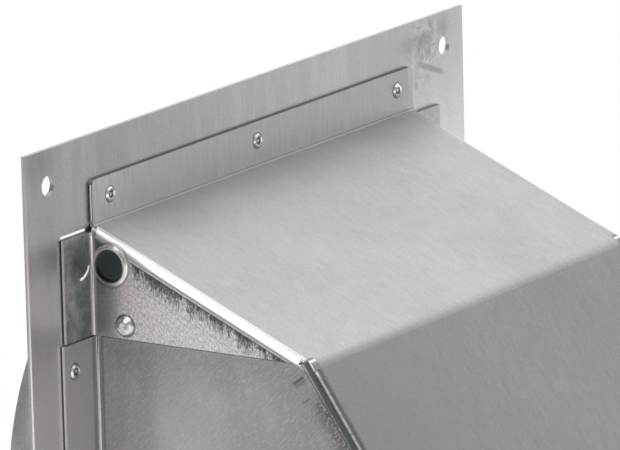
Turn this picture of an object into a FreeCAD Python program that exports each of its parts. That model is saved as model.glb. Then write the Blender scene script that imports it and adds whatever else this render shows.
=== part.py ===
import FreeCAD, Part
import Sketcher
import math
import os

os.makedirs("parts", exist_ok=True)
doc = FreeCAD.newDocument("DryerVentCap")

# A hooded wall cap for a four inch dryer duct, folded and clinched from sheet metal.
# Frame: origin on the duct's axis in the wall plane, -Y out of the wall, +Z up, millimetres.

# Driving sizes, one cell each
DRIVING = {
    "plate_side": 152.4,
    "plate_gauge": 0.9,
    "screw_hole_d": 3.9,
    "screw_inset": 7.0,
    "collar_r": 48.6,
    "collar_wall": 0.6,
    "collar_rear": 25.5,
    "collar_plate_play": 0.1,
    "bead_height": 1.6,
    "bead_width": 2.0,
    "hood_gauge": 0.8,
    "hood_side_room": 8.4,
    "pivot_headroom": 7.5,
    "flange_height": 8.3,
    "flange_corner_r": 1.2,
    "flange_inset": 0.9,
    "top_run": 49.7,
    "top_fall": 21.6,
    "front_slope": 55.8,
    "mouth_below_collar": 9.4,
    "wall_bend_inner": 0.6,
    "side_bend_inner": 1.2,
    "fold_outer": 4.0,
    "fold_lap": 6.0,
    "fold_leg": 0.1,
    "fold_side_step": 0.4,
    "nest_gap": 0.15,
    "gusset_lift": 0.1,
    "gusset_nose": 2.5,
    "gusset_tab_drop": 1.5,
    "gusset_tab_width": 8.9,
    "side_tab_width": 10.65,
    "side_tab_drop": 0.3,
    "corner_relief": 0.7,
    "side_headroom": 0.6,
    "side_nose": 2.7,
    "side_tip": 1.6,
    "hem_height": 6.0,
    "hem_gap": 0.2,
    "hem_end_gap": 1.8,
    "clinch_d": 3.0,
    "clinch_rise": 0.42,
    "clinch_crest_d": 2.2,
    "clinch_pit_d": 1.7,
    "clinch_pit_depth": 0.5,
    "flange_clinch_down": 3.8,
    "flange_clinch_inset": 6.8,
    "tab_clinch_inset": 3.2,
    "tab_clinch_down": 5.7,
    "tab_clinch_end": 12.1,
    "button_d": 4.2,
    "button_shoulder_d": 3.3,
    "button_shoulder_rise": 0.6,
    "button_crown_d": 1.5,
    "button_rise": 0.95,
    "button_wall": 0.5,
    "button_out": 8.2,
    "button_up": 2.6,
    "rod_d": 3.2,
    "rod_lift": 1.6,
    "rod_play": 0.05,
    "rod_end_gap": 0.2,
    "bead_gap": 0.95,
    "bushing_d": 6.2,
    "bushing_play": 0.05,
    "bushing_recess": 0.35,
    "bushing_wall_gap": 1.4,
    "bushing_flange_width": 1.0,
    "bore_floor": 0.6,
    "lip_d": 8.0,
    "lip_crest_d": 7.0,
    "lip_rise": 0.42,
    "seat_gap": 0.25,
    "seal_thickness": 1.0,
    "seal_overlap": 0.4,
    "seal_width": 3.5,
    "flap_gauge": 0.5,
    "flap_side_gap": 1.6,
    "flap_below_collar": 1.9,
    "flap_lip": 5.0,
    "flap_bend": 0.6,
    "curl_play": 0.02,
    "curl_end": 60.0,
}

dims = doc.addObject("Spreadsheet::Sheet", "dims")
for row, (alias, size) in enumerate(DRIVING.items(), start=1):
    dims.set(f"A{row}", alias)
    dims.set(f"B{row}", str(size))
    dims.setAlias(f"B{row}", alias)

# Sizes that follow from the driving ones
WORKED = {
    "front_face": "-dims.plate_gauge",
    "flange_face": "-dims.plate_gauge - dims.hood_gauge",
    "half_plate": "dims.plate_side / 2",
    "screw_reach": "dims.plate_side / 2 - dims.screw_inset",
    "half_hood": "dims.collar_r + dims.hood_side_room",
    "half_front": "dims.collar_r + dims.hood_side_room - dims.hood_gauge - dims.nest_gap",
    "curl_outer": "dims.rod_d / 2 + dims.curl_play + dims.flap_gauge",
    "pivot_out": "dims.bead_width + dims.bead_gap + dims.rod_d / 2 + dims.curl_play + dims.flap_gauge",
    "pivot_y": "-dims.plate_gauge - dims.bead_width - dims.bead_gap - dims.rod_d / 2"
               " - dims.curl_play - dims.flap_gauge",
    "pivot_z": "dims.collar_r + dims.rod_lift + dims.rod_d / 2",
    "bend_height": "dims.collar_r + dims.rod_lift + dims.rod_d / 2 + dims.pivot_headroom",
    "flange_top": "dims.collar_r + dims.rod_lift + dims.rod_d / 2 + dims.pivot_headroom + dims.flange_height",
    "fold_y": "-dims.plate_gauge - dims.top_run",
    "fold_z": "dims.collar_r + dims.rod_lift + dims.rod_d / 2 + dims.pivot_headroom - dims.top_fall",
    "gusset_low": "dims.collar_r + dims.rod_lift + dims.rod_d / 2 + dims.pivot_headroom - dims.top_fall"
                  " + dims.gusset_lift",
    "mouth_z": "-dims.collar_r - dims.mouth_below_collar",
    "wall_bend_outer": "dims.wall_bend_inner + dims.hood_gauge",
    "side_bend_outer": "dims.side_bend_inner + dims.hood_gauge",
    "fold_inner": "dims.fold_outer - dims.hood_gauge",
    "top_tan": "dims.top_fall / dims.top_run",
    "top_stretch": "sqrt(1 + (dims.top_fall / dims.top_run)^2)",
    "front_tan": "tan(dims.front_slope)",
    "front_stretch": "1 / cos(dims.front_slope)",
    "flap_back": "-dims.plate_gauge - dims.bead_width - dims.bead_gap - dims.rod_d"
                 " - 2 * dims.curl_play - dims.flap_gauge",
    "flap_front": "-dims.plate_gauge - dims.bead_width - dims.bead_gap - dims.rod_d"
                  " - 2 * dims.curl_play - 2 * dims.flap_gauge",
    "flap_foot": "-dims.collar_r - dims.flap_below_collar",
    "half_flap": "dims.collar_r + dims.hood_side_room - 2 * dims.hood_gauge - dims.nest_gap"
                 " - dims.bushing_flange_width - dims.flap_side_gap",
}

worked = doc.addObject("Spreadsheet::Sheet", "worked")
for row, (alias, formula) in enumerate(WORKED.items(), start=1):
    worked.set(f"A{row}", alias)
    worked.set(f"B{row}", "=" + formula)
    worked.setAlias(f"B{row}", alias)
doc.recompute()


def plane(body, role):
    for feature in body.Origin.OriginFeatures:
        if feature.Role == role:
            return feature
    raise RuntimeError("no plane " + role)


def new_body(name):
    body = doc.addObject("PartDesign::Body", name)
    body.Label = name
    return body


def new_sketch(body, name, role):
    sketch = body.newObject("Sketcher::SketchObject", name)
    sketch.AttachmentSupport = [(plane(body, role), "")]
    sketch.MapMode = "FlatFace"
    return sketch


def add_outline(sketch, points):
    """A closed outline whose corners are bound, each by two expressions."""
    first = sketch.GeometryCount
    count = len(points)
    ring = [(float(i % 7) * 3 + i, float(i * i % 11)) for i in range(count)]
    for i in range(count):
        start = FreeCAD.Vector(*ring[i], 0)
        end = FreeCAD.Vector(*ring[(i + 1) % count], 0)
        sketch.addGeometry(Part.LineSegment(start, end))
    for i in range(count):
        sketch.addConstraint(
            Sketcher.Constraint("Coincident", first + i, 2, first + (i + 1) % count, 1)
        )
    for i, (across, up) in enumerate(points):
        bind_point(sketch, first + i, 1, across, up)


def add_circle(sketch, across, up, radius):
    index = sketch.GeometryCount
    circle = Part.Circle(FreeCAD.Vector(index + 1, 1, 0), FreeCAD.Vector(0, 0, 1), 1)
    sketch.addGeometry(circle)
    bind_point(sketch, index, 3, across, up)
    number = sketch.addConstraint(Sketcher.Constraint("Radius", index, 1.0))
    sketch.setExpression(f"Constraints[{number}]", radius)


def bind_point(sketch, index, corner, across, up):
    bind_across(sketch, index, corner, across)
    bind_up(sketch, index, corner, up)


def bind_across(sketch, index, corner, across):
    now = sketch.getPoint(index, corner).x
    number = sketch.addConstraint(Sketcher.Constraint("DistanceX", index, corner, now))
    sketch.setExpression(f"Constraints[{number}]", across)


def bind_up(sketch, index, corner, up):
    now = sketch.getPoint(index, corner).y
    number = sketch.addConstraint(Sketcher.Constraint("DistanceY", index, corner, now))
    sketch.setExpression(f"Constraints[{number}]", up)


def extrude(body, kind, name, sketch, length, symmetric=False):
    feature = body.newObject(kind, name)
    feature.Profile = sketch
    feature.setExpression("Length", length)
    if symmetric:
        feature.SideType = "Symmetric"
    body.Tip = feature
    doc.recompute()
    return feature


def rounded(body, name, radius, chosen):
    """Round every edge of the body's tip that the test picks."""
    base = body.Tip
    edges = [f"Edge{i}" for i, edge in enumerate(base.Shape.Edges, start=1) if chosen(edge)]
    if not edges:
        raise RuntimeError("no edge to round for " + name)
    fillet = body.newObject("PartDesign::Fillet", name)
    fillet.Base = (base, edges)
    fillet.setExpression("Radius", radius)
    body.Tip = fillet
    doc.recompute()
    return fillet


TURNS = {
    "+X": FreeCAD.Rotation(FreeCAD.Vector(0, 1, 0), 90),
    "-X": FreeCAD.Rotation(FreeCAD.Vector(0, 1, 0), -90),
    "+Y": FreeCAD.Rotation(FreeCAD.Vector(1, 0, 0), -90),
    "-Y": FreeCAD.Rotation(FreeCAD.Vector(1, 0, 0), 90),
}
SIDES = (("left", -1, "-X"), ("right", 1, "+X"))


def bind_base(item, base):
    for letter, place in zip("xyz", base):
        item.setExpression(f"Placement.Base.{letter}", place)


def cylinder(name, axis, radius, length, base):
    """A round bar along X or Y, from a base point given by expressions."""
    bar = doc.addObject("Part::Cylinder", name)
    bar.Placement = FreeCAD.Placement(FreeCAD.Vector(), TURNS[axis])
    bar.setExpression("Radius", radius)
    bar.setExpression("Height", length)
    bind_base(bar, base)
    return bar


def cone(name, axis, near_radius, far_radius, length, base):
    """A cone frustum along X or Y, from a base point given by expressions."""
    frustum = doc.addObject("Part::Cone", name)
    frustum.Placement = FreeCAD.Placement(FreeCAD.Vector(), TURNS[axis])
    frustum.setExpression("Radius1", near_radius)
    frustum.setExpression("Radius2", far_radius)
    frustum.setExpression("Height", length)
    bind_base(frustum, base)
    return frustum


def fuse(name, shapes):
    joined = doc.addObject("Part::MultiFuse", name)
    joined.Shapes = shapes
    joined.Refine = True
    joined.Label = name
    return joined


def cut(name, base, tool):
    result = doc.addObject("Part::Cut", name)
    result.Base = base
    result.Tool = tool
    result.Refine = True
    result.Label = name
    return result


def value(name):
    """The number in a cell of either sheet, as it stands now."""
    sheet = dims if name in DRIVING else worked
    return float(sheet.get(name))


def straight(edge):
    return isinstance(edge.Curve, Part.Line)


def near(first, second):
    return abs(first - second) < 1e-4


def front_line(depth, height):
    """How far out the front panel is at a height, a depth in from its outer face."""
    fall = f"(worked.fold_z - ({depth}) * worked.front_stretch - ({height}))"
    return f"worked.fold_y - {fall} / worked.front_tan"


def top_line(out, depth):
    """The height of the top panel at a distance out, a depth in from its outer face."""
    return f"worked.bend_height - ({out}) * worked.top_tan - ({depth}) * worked.top_stretch"


def level_edge(y, z):
    """A test for the long level edge at a place in the section."""
    def test(edge):
        middle = edge.CenterOfMass
        long_enough = edge.Length > value("half_flap")
        return straight(edge) and long_enough and near(middle.y, y) and near(middle.z, z)
    return test


# Where the clinched joints are, as pairs of expressions across and up
FLANGE_CLINCHES = [
    (f"{side} * (worked.half_hood - dims.flange_clinch_inset)", "worked.flange_top - dims.flange_clinch_down")
    for side in (-1, 0, 1)
]
TAB_CLINCH_TOP = "(worked.gusset_low - dims.tab_clinch_down)"
TAB_CLINCH_LOW = "(worked.mouth_z + dims.tab_clinch_end)"
TAB_CLINCHES = [
    (
        f"{side} * (worked.half_front + dims.side_tab_width - dims.tab_clinch_inset)",
        f"{TAB_CLINCH_TOP} - {step} / 2 * ({TAB_CLINCH_TOP} - {TAB_CLINCH_LOW})",
    )
    for side in (-1, 1)
    for step in (0, 1, 2)
]
CLINCHES = FLANGE_CLINCHES + TAB_CLINCHES


# Wall plate: a square sheet with a duct hole, four screw holes and a punch pit behind each clinch
def make_wall_plate():
    body = new_body("plate_blank")
    outline = new_sketch(body, "plate_outline", "XZ_Plane")
    half = "worked.half_plate"
    corners = [("-" + half, "-" + half), (half, "-" + half), (half, half), ("-" + half, half)]
    add_outline(outline, corners)
    add_circle(outline, "0", "0", "dims.collar_r + dims.collar_plate_play")
    for side in (-1, 1):
        for end in (-1, 1):
            across = f"{side} * worked.screw_reach"
            up = f"{end} * worked.screw_reach"
            add_circle(outline, across, up, "dims.screw_hole_d / 2")
    extrude(body, "PartDesign::Pad", "plate_pad", outline, "dims.plate_gauge")
    pits = []
    for number, (across, up) in enumerate(CLINCHES):
        pits.append(cone(f"plate_pit_{number}", "-Y", "dims.clinch_pit_d / 2", "0",
                         "dims.clinch_pit_depth", (across, "0", up)))
    return cut("wall_plate", body, fuse("plate_pits", pits))


# Wall flange: the hood's upper edge on the plate and the bend into the top panel
def make_wall_flange():
    body = new_body("hood_flange")
    section = new_sketch(body, "flange_section", "YZ_Plane")
    out = "(dims.corner_relief + dims.hood_gauge)"
    add_outline(section, [
        ("worked.flange_face", "worked.flange_top"),
        ("worked.flange_face", top_line("dims.hood_gauge", "0")),
        (f"worked.front_face - {out}", top_line(out, "0")),
        (f"worked.front_face - {out}", top_line(out, "dims.hood_gauge")),
        ("worked.front_face", top_line("0", "dims.hood_gauge")),
        ("worked.front_face", "worked.flange_top"),
    ])
    extrude(body, "PartDesign::Pad", "flange_pad", section,
            "2 * (worked.half_hood - dims.flange_inset)", symmetric=True)
    crease = value("bend_height") - value("hood_gauge") * value("top_tan")
    back_crease = value("bend_height") - value("hood_gauge") * value("top_stretch")
    rounded(body, "flange_bend", "dims.wall_bend_inner", level_edge(value("flange_face"), crease))
    rounded(body, "flange_bend_back", "worked.wall_bend_outer",
            level_edge(value("front_face"), back_crease))

    def top_corner(edge):
        middle = edge.CenterOfMass
        across = straight(edge) and near(abs(edge.tangentAt(edge.FirstParameter).y), 1)
        return across and near(middle.z, value("flange_top"))

    rounded(body, "flange_corners", "dims.flange_corner_r", top_corner)
    return body


# Top panel, with a triangular gusset folded down at each side
def make_top_channel():
    body = new_body("hood_top")
    relief = "dims.corner_relief"
    nose = "(dims.top_run - dims.gusset_nose)"
    spare = "(worked.gusset_low - 5 * worked.side_bend_outer)"
    block = new_sketch(body, "top_block", "YZ_Plane")
    add_outline(block, [
        (f"worked.front_face - {relief}", top_line(relief, "0")),
        (f"worked.front_face - {nose}", top_line(nose, "0")),
        (f"worked.front_face - {nose}", spare),
        (f"worked.front_face - {relief}", spare),
    ])
    extrude(body, "PartDesign::Pad", "top_pad", block, "2 * worked.half_hood", symmetric=True)
    room = new_sketch(body, "top_room", "YZ_Plane")
    add_outline(room, [
        ("0", top_line("-dims.plate_gauge", "dims.hood_gauge")),
        ("worked.fold_y", top_line("dims.top_run", "dims.hood_gauge")),
        ("worked.fold_y", f"{spare} - 1"),
        ("0", f"{spare} - 1"),
    ])
    extrude(body, "PartDesign::Pocket", "top_hollow", room,
            "2 * (worked.half_hood - dims.hood_gauge)", symmetric=True)

    def side_fold(half, depth):
        def test(edge):
            middle = edge.CenterOfMass
            out = value("front_face") - middle.y
            height = value("bend_height") - out * value("top_tan") - depth * value("top_stretch")
            along = straight(edge) and edge.Length > value("top_run") / 2
            return along and near(abs(middle.x), half) and near(middle.z, height)
        return test

    half = value("half_hood")
    gauge = value("hood_gauge")
    rounded(body, "top_side_fold", "worked.side_bend_outer", side_fold(half, 0))
    rounded(body, "top_side_fold_inside", "dims.side_bend_inner", side_fold(half - gauge, gauge))
    trim = new_sketch(body, "gusset_trim", "YZ_Plane")
    add_outline(trim, [
        ("0", "worked.gusset_low"),
        ("worked.fold_y", "worked.gusset_low"),
        ("worked.fold_y", f"{spare} - 1"),
        ("0", f"{spare} - 1"),
    ])
    extrude(body, "PartDesign::Pocket", "gusset_edge", trim, "3 * worked.half_hood", symmetric=True)
    return body


# The front fold's legs: how far its bend runs down the front panel, and its inner crease
FOLD_TANGENT = (
    "(dims.fold_outer * (worked.front_tan / worked.front_stretch - worked.top_tan / worked.top_stretch)"
    " / (1 / worked.front_stretch + 1 / worked.top_stretch) + dims.fold_leg)"
)
FOLD_END_OUTSIDE = (
    f"worked.fold_y - {FOLD_TANGENT} / worked.front_stretch",
    f"worked.fold_z - {FOLD_TANGENT} * worked.front_tan / worked.front_stretch",
)
FOLD_END_INSIDE = (
    FOLD_END_OUTSIDE[0] + " + dims.hood_gauge * worked.front_tan / worked.front_stretch",
    FOLD_END_OUTSIDE[1] + " - dims.hood_gauge / worked.front_stretch",
)
FOLD_INSIDE_OUT = (
    "(dims.top_run - dims.hood_gauge * (worked.front_stretch - worked.top_stretch)"
    " / (worked.front_tan - worked.top_tan))"
)


# Soft fold between the top panel and the front panel
def make_front_fold():
    body = new_body("hood_fold")
    section = new_sketch(body, "fold_section", "YZ_Plane")
    start = "(dims.top_run - dims.fold_lap)"
    add_outline(section, [
        (f"worked.front_face - {start}", top_line(start, "0")),
        ("worked.fold_y", "worked.fold_z"),
        FOLD_END_OUTSIDE,
        FOLD_END_INSIDE,
        (f"worked.front_face - {FOLD_INSIDE_OUT}", top_line(FOLD_INSIDE_OUT, "dims.hood_gauge")),
        (f"worked.front_face - {start}", top_line(start, "dims.hood_gauge")),
    ])
    extrude(body, "PartDesign::Pad", "fold_pad", section,
            "2 * (worked.half_front - dims.fold_side_step)", symmetric=True)
    drop = value("hood_gauge") * (value("front_stretch") - value("top_stretch"))
    out = value("top_run") - drop / (value("front_tan") - value("top_tan"))
    height = value("bend_height") - out * value("top_tan") - value("hood_gauge") * value("top_stretch")
    rounded(body, "fold_outside", "dims.fold_outer", level_edge(value("fold_y"), value("fold_z")))
    rounded(body, "fold_inside", "worked.fold_inner", level_edge(value("front_face") - out, height))
    return body


# Front panel, with a side panel folded back at each side and nested inside the gussets
def make_front_channel():
    body = new_body("hood_front")
    wall_end = "dims.corner_relief"
    under = "dims.hood_gauge + dims.side_headroom"
    nose = "(dims.top_run - dims.side_nose)"
    tip = "(dims.top_run - dims.side_tip)"
    block = new_sketch(body, "side_block", "YZ_Plane")
    add_outline(block, [
        (f"worked.front_face - {wall_end}", top_line(wall_end, under)),
        (f"worked.front_face - {nose}", top_line(nose, under)),
        (f"worked.front_face - {tip}", top_line(tip, "dims.hood_gauge / 2")),
        FOLD_END_OUTSIDE,
        (front_line("0", "worked.mouth_z"), "worked.mouth_z"),
        (f"worked.front_face - {wall_end}", "worked.mouth_z"),
    ])
    extrude(body, "PartDesign::Pad", "side_pad", block, "2 * worked.half_front", symmetric=True)
    room = new_sketch(body, "side_room", "YZ_Plane")
    add_outline(room, [
        (front_line("dims.hood_gauge", "worked.bend_height"), "worked.bend_height"),
        (front_line("dims.hood_gauge", "worked.mouth_z - 1"), "worked.mouth_z - 1"),
        ("0", "worked.mouth_z - 1"),
        ("0", "worked.bend_height"),
    ])
    extrude(body, "PartDesign::Pocket", "side_hollow", room,
            "2 * (worked.half_front - dims.hood_gauge)", symmetric=True)

    def side_fold(half, depth):
        def test(edge):
            middle = edge.CenterOfMass
            fall = value("fold_z") - depth * value("front_stretch") - middle.z
            out = value("fold_y") - fall / value("front_tan")
            along = straight(edge) and edge.Length > value("top_run")
            return along and near(abs(middle.x), half) and near(middle.y, out)
        return test

    half = value("half_front")
    gauge = value("hood_gauge")
    rounded(body, "front_side_fold", "worked.side_bend_outer", side_fold(half, 0))
    rounded(body, "front_side_fold_inside", "dims.side_bend_inner", side_fold(half - gauge, gauge))
    return body


# Tab: the edge of a gusset or side panel bent outward flat against the wall plate
def make_tab(name, side, half, width, low, high):
    body = new_body(name)
    section = new_sketch(body, name + "_section", "XY_Plane")
    section.setExpression("AttachmentOffset.Base.z", low)
    leg = "(dims.corner_relief + dims.hood_gauge)"
    inner = f"{side} * (worked.{half} - dims.hood_gauge)"
    reach = f"{side} * (worked.{half} + {width})"
    add_outline(section, [
        (inner, "worked.front_face"),
        (reach, "worked.front_face"),
        (reach, "worked.flange_face"),
        (f"{side} * worked.{half}", "worked.flange_face"),
        (f"{side} * worked.{half}", f"worked.front_face - {leg}"),
        (inner, f"worked.front_face - {leg}"),
    ])
    extrude(body, "PartDesign::Pad", name + "_pad", section, f"{high} - ({low})")

    def corner(x, y):
        def test(edge):
            middle = edge.CenterOfMass
            upright = straight(edge) and near(abs(edge.tangentAt(edge.FirstParameter).z), 1)
            return upright and near(middle.x, x) and near(middle.y, y)
        return test

    rounded(body, name + "_bend", "dims.wall_bend_inner",
            corner(side * value(half), value("flange_face")))
    rounded(body, name + "_bend_back", "worked.wall_bend_outer",
            corner(side * (value(half) - value("hood_gauge")), value("front_face")))
    return body


# Hem: the lower end of the front panel turned back inside on itself
def make_hem():
    body = new_body("hood_hem")
    inner = "dims.hood_gauge + dims.hem_gap"
    innermost = "2 * dims.hood_gauge + dims.hem_gap"
    top = "worked.mouth_z + dims.hem_height"
    roll = "worked.mouth_z + dims.hood_gauge"
    section = new_sketch(body, "hem_section", "YZ_Plane")
    add_outline(section, [
        (front_line("dims.hood_gauge / 2", "worked.mouth_z"), "worked.mouth_z"),
        (front_line(innermost, "worked.mouth_z"), "worked.mouth_z"),
        (front_line(innermost, top), top),
        (front_line(inner, top), top),
        (front_line(inner, roll), roll),
        (front_line("dims.hood_gauge / 2", roll), roll),
    ])
    extrude(body, "PartDesign::Pad", "hem_pad", section,
            "2 * (worked.half_front - dims.hood_gauge - dims.hem_end_gap)", symmetric=True)
    return body


# Clinch on the hood: a raised ring with a sharp crest round a hollow eye
def clinch_features(number, across, up):
    base = (across, "worked.flange_face", up)
    ring = cone(f"clinch_ring_{number}", "-Y", "dims.clinch_d / 2",
                "dims.clinch_crest_d - dims.clinch_d / 2", "2 * dims.clinch_rise", base)
    eye = cone(f"clinch_eye_{number}", "-Y", "0", "dims.clinch_crest_d", "2 * dims.clinch_rise", base)
    return ring, eye


# Button: the domed joint that holds a gusset to the side panel inside it
def button_features(label, side, axis):
    y = "worked.front_face - dims.button_out"
    z = "worked.gusset_low + dims.button_up"
    through = "(2 * dims.hood_gauge + dims.nest_gap)"
    inner_face = f"{side} * (worked.half_front - dims.hood_gauge)"
    stem = cylinder("button_stem_" + label, axis, "dims.button_d / 2", through, (inner_face, y, z))
    shoulder = cone("button_shoulder_" + label, axis, "dims.button_d / 2", "dims.button_shoulder_d / 2",
                    "dims.button_shoulder_rise", (f"{side} * worked.half_hood", y, z))
    crown = cone("button_crown_" + label, axis, "dims.button_shoulder_d / 2", "dims.button_crown_d / 2",
                 "dims.button_rise - dims.button_shoulder_rise",
                 (f"{side} * (worked.half_hood + dims.button_shoulder_rise)", y, z))
    pit = cone("button_pit_" + label, axis, "dims.button_d / 2 - dims.button_wall", "0",
               f"{through} + dims.button_rise - dims.button_wall", (inner_face, y, z))
    return [stem, shoulder, crown], pit


# Pivot hole: through the gusset and side panel, with a rolled lip on the gusset's face
def pivot_features(label, side, axis):
    y = "worked.pivot_y"
    z = "worked.pivot_z"
    lip = cone("pivot_lip_" + label, axis, "dims.lip_d / 2", "dims.lip_crest_d / 2", "dims.lip_rise",
               (f"{side} * worked.half_hood", y, z))
    start = f"{side} * (worked.half_front - dims.hood_gauge - dims.bushing_flange_width)"
    depth = "(dims.bushing_flange_width + 2 * dims.hood_gauge + dims.nest_gap + 2 * dims.lip_rise)"
    hole = cylinder("pivot_hole_" + label, axis, "dims.bushing_d / 2 + dims.bushing_play",
                    depth, (start, y, z))
    return lip, hole


# Hood: one folded sheet, with its clinches, its two buttons and its two pivot holes
def make_hood():
    solids = [make_wall_flange(), make_top_channel(), make_front_fold(), make_front_channel(), make_hem()]
    holes = []
    for label, side, axis in SIDES:
        solids.append(make_tab("gusset_tab_" + label, side, "half_hood", "dims.gusset_tab_width",
                               "worked.gusset_low", "worked.bend_height - dims.gusset_tab_drop"))
        solids.append(make_tab("side_tab_" + label, side, "half_front", "dims.side_tab_width",
                               "worked.mouth_z", "worked.gusset_low - dims.side_tab_drop"))
        raised, pit = button_features(label, side, axis)
        lip, hole = pivot_features(label, side, axis)
        solids.extend(raised + [lip])
        holes.extend([pit, hole])
    for number, (across, up) in enumerate(CLINCHES):
        ring, eye = clinch_features(number, across, up)
        solids.append(ring)
        holes.append(eye)
    folded = fuse("hood_folded", solids)
    return cut("hood", folded, fuse("hood_holes", holes))


# Duct collar: a thin tube through the plate, held by a rolled bead on each side of it
def make_duct_collar():
    body = new_body("duct_collar")
    section = new_sketch(body, "collar_section", "XY_Plane")
    out = "dims.collar_r"
    inside = "dims.collar_r - dims.collar_wall"
    bead = "dims.collar_r + dims.bead_height"
    bead_in = "dims.collar_r + dims.bead_height - dims.collar_wall"
    front = seat_plane()
    add_outline(section, [
        (inside, front),
        (out, front),
        (out, "worked.front_face - dims.bead_width"),
        (bead, "worked.front_face"),
        (out, "worked.front_face"),
        (out, "0"),
        (bead, "0"),
        (out, "dims.bead_width"),
        (out, "dims.collar_rear"),
        (inside, "dims.collar_rear"),
        (inside, "dims.bead_width"),
        (bead_in, "dims.collar_wall"),
        (inside, "dims.collar_wall / 2"),
        (inside, "worked.front_face - dims.collar_wall / 2"),
        (bead_in, "worked.front_face - dims.collar_wall"),
        (inside, "worked.front_face - dims.bead_width"),
    ])
    turned = body.newObject("PartDesign::Revolution", "collar_turned")
    turned.Profile = section
    turned.ReferenceAxis = (section, ["V_Axis"])
    turned.Angle = 360
    body.Tip = turned
    return body


def seat_plane():
    """The collar's front edge, a little behind the seal on the flap."""
    return "worked.flap_back + dims.seal_thickness + dims.seat_gap"


# Damper flap: a sheet with a lip at the foot and a curl round the rod at the head
def make_damper_flap():
    body = new_body("damper_flap")
    section = new_sketch(body, "flap_section", "YZ_Plane")
    centre = FreeCAD.Vector(value("pivot_y"), value("pivot_z"), 0)
    inner = value("rod_d") / 2 + value("curl_play")
    outer = value("curl_outer")
    start = math.radians(-value("curl_end"))
    foot = value("flap_foot")
    tip_direction = FreeCAD.Vector(math.cos(start), math.sin(start), 0)
    corners = [
        FreeCAD.Vector(value("flap_back"), foot, 0),
        FreeCAD.Vector(value("flap_back"), value("pivot_z"), 0),
        FreeCAD.Vector(value("flap_front"), value("pivot_z"), 0),
        FreeCAD.Vector(value("flap_front"), foot + value("flap_gauge"), 0),
        FreeCAD.Vector(value("flap_back") - value("flap_lip"), foot + value("flap_gauge"), 0),
        FreeCAD.Vector(value("flap_back") - value("flap_lip"), foot, 0),
    ]

    def arc(radius):
        circle = Part.Circle(centre, FreeCAD.Vector(0, 0, 1), radius)
        return section.addGeometry(Part.ArcOfCircle(circle, start, math.pi))

    def line(first, second):
        return section.addGeometry(Part.LineSegment(first, second))

    inside = arc(inner)
    outside = arc(outer)
    back = line(corners[0], corners[1])
    front = line(corners[2], corners[3])
    lip_top = line(corners[3], corners[4])
    lip_end = line(corners[4], corners[5])
    lip_low = line(corners[5], corners[0])
    tip = line(centre + tip_direction * inner, centre + tip_direction * outer)
    meetings = [
        (inside, 2, back, 2), (outside, 2, front, 1), (front, 2, lip_top, 1), (lip_top, 2, lip_end, 1),
        (lip_end, 2, lip_low, 1), (lip_low, 2, back, 1), (inside, 1, tip, 1), (outside, 1, tip, 2),
    ]
    for first, first_end, second, second_end in meetings:
        section.addConstraint(Sketcher.Constraint("Coincident", first, first_end, second, second_end))
    for bend in (inside, outside):
        bind_point(section, bend, 3, "worked.pivot_y", "worked.pivot_z")
        bind_up(section, bend, 2, "worked.pivot_z")
    for end, radius in ((1, "(dims.rod_d / 2 + dims.curl_play)"), (2, "worked.curl_outer")):
        bind_point(section, tip, end, f"worked.pivot_y + {radius} * cos(dims.curl_end)",
                   f"worked.pivot_z - {radius} * sin(dims.curl_end)")
    bind_point(section, back, 1, "worked.flap_back", "worked.flap_foot")
    bind_point(section, lip_top, 1, "worked.flap_front", "worked.flap_foot + dims.flap_gauge")
    bind_point(section, lip_end, 1, "worked.flap_back - dims.flap_lip", "worked.flap_foot + dims.flap_gauge")
    bind_point(section, lip_low, 1, "worked.flap_back - dims.flap_lip", "worked.flap_foot")
    extrude(body, "PartDesign::Pad", "flap_pad", section, "2 * worked.half_flap", symmetric=True)
    rounded(body, "lip_bend", "dims.flap_bend",
            level_edge(value("flap_front"), foot + value("flap_gauge")))
    rounded(body, "lip_bend_back", "dims.flap_bend + dims.flap_gauge", level_edge(value("flap_back"), foot))
    return body


# Damper rod: a straight wire pin whose ends turn in the two bushings
def make_damper_rod():
    reach = "(worked.half_hood - dims.bushing_recess - dims.bore_floor - dims.rod_end_gap)"
    rod = cylinder("damper_rod", "+X", "dims.rod_d / 2", f"2 * {reach}",
                   (f"-{reach}", "worked.pivot_y", "worked.pivot_z"))
    rod.Label = "damper_rod"
    return rod


# Damper seal: a foam ring on the flap's back, round the collar's edge
def make_damper_seal():
    outer = "(dims.collar_r + dims.seal_overlap)"
    ring = cylinder("seal_outside", "+Y", outer, "dims.seal_thickness", ("0", "worked.flap_back", "0"))
    hole = cylinder("seal_inside", "+Y", f"{outer} - dims.seal_width", "3 * dims.seal_thickness",
                    ("0", "worked.flap_back - dims.seal_thickness", "0"))
    return cut("damper_seal", ring, hole)


# Pivot bushing: a blind nylon bush with its flange inside the side panel
def make_bushing(label, side):
    name = "pivot_bushing_" + label
    body = new_body(name)
    section = new_sketch(body, name + "_section", "XZ_Plane")
    outer = "(worked.half_hood - dims.bushing_recess)"
    inner = "(worked.half_front - dims.hood_gauge)"
    end = f"({inner} - dims.bushing_flange_width)"
    floor = f"({outer} - dims.bore_floor)"
    bore = "dims.rod_d / 2 + dims.rod_play"
    flange = "worked.pivot_out - dims.bushing_wall_gap"
    add_outline(section, [
        (f"{side} * {outer}", "0"),
        (f"{side} * {outer}", "dims.bushing_d / 2"),
        (f"{side} * {inner}", "dims.bushing_d / 2"),
        (f"{side} * {inner}", flange),
        (f"{side} * {end}", flange),
        (f"{side} * {end}", bore),
        (f"{side} * {floor}", bore),
        (f"{side} * {floor}", "0"),
    ])
    turned = body.newObject("PartDesign::Revolution", name + "_turned")
    turned.Profile = section
    turned.ReferenceAxis = (section, ["H_Axis"])
    turned.Angle = 360
    body.Tip = turned
    body.setExpression("Placement.Base.y", "worked.pivot_y")
    body.setExpression("Placement.Base.z", "worked.pivot_z")
    return body


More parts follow.
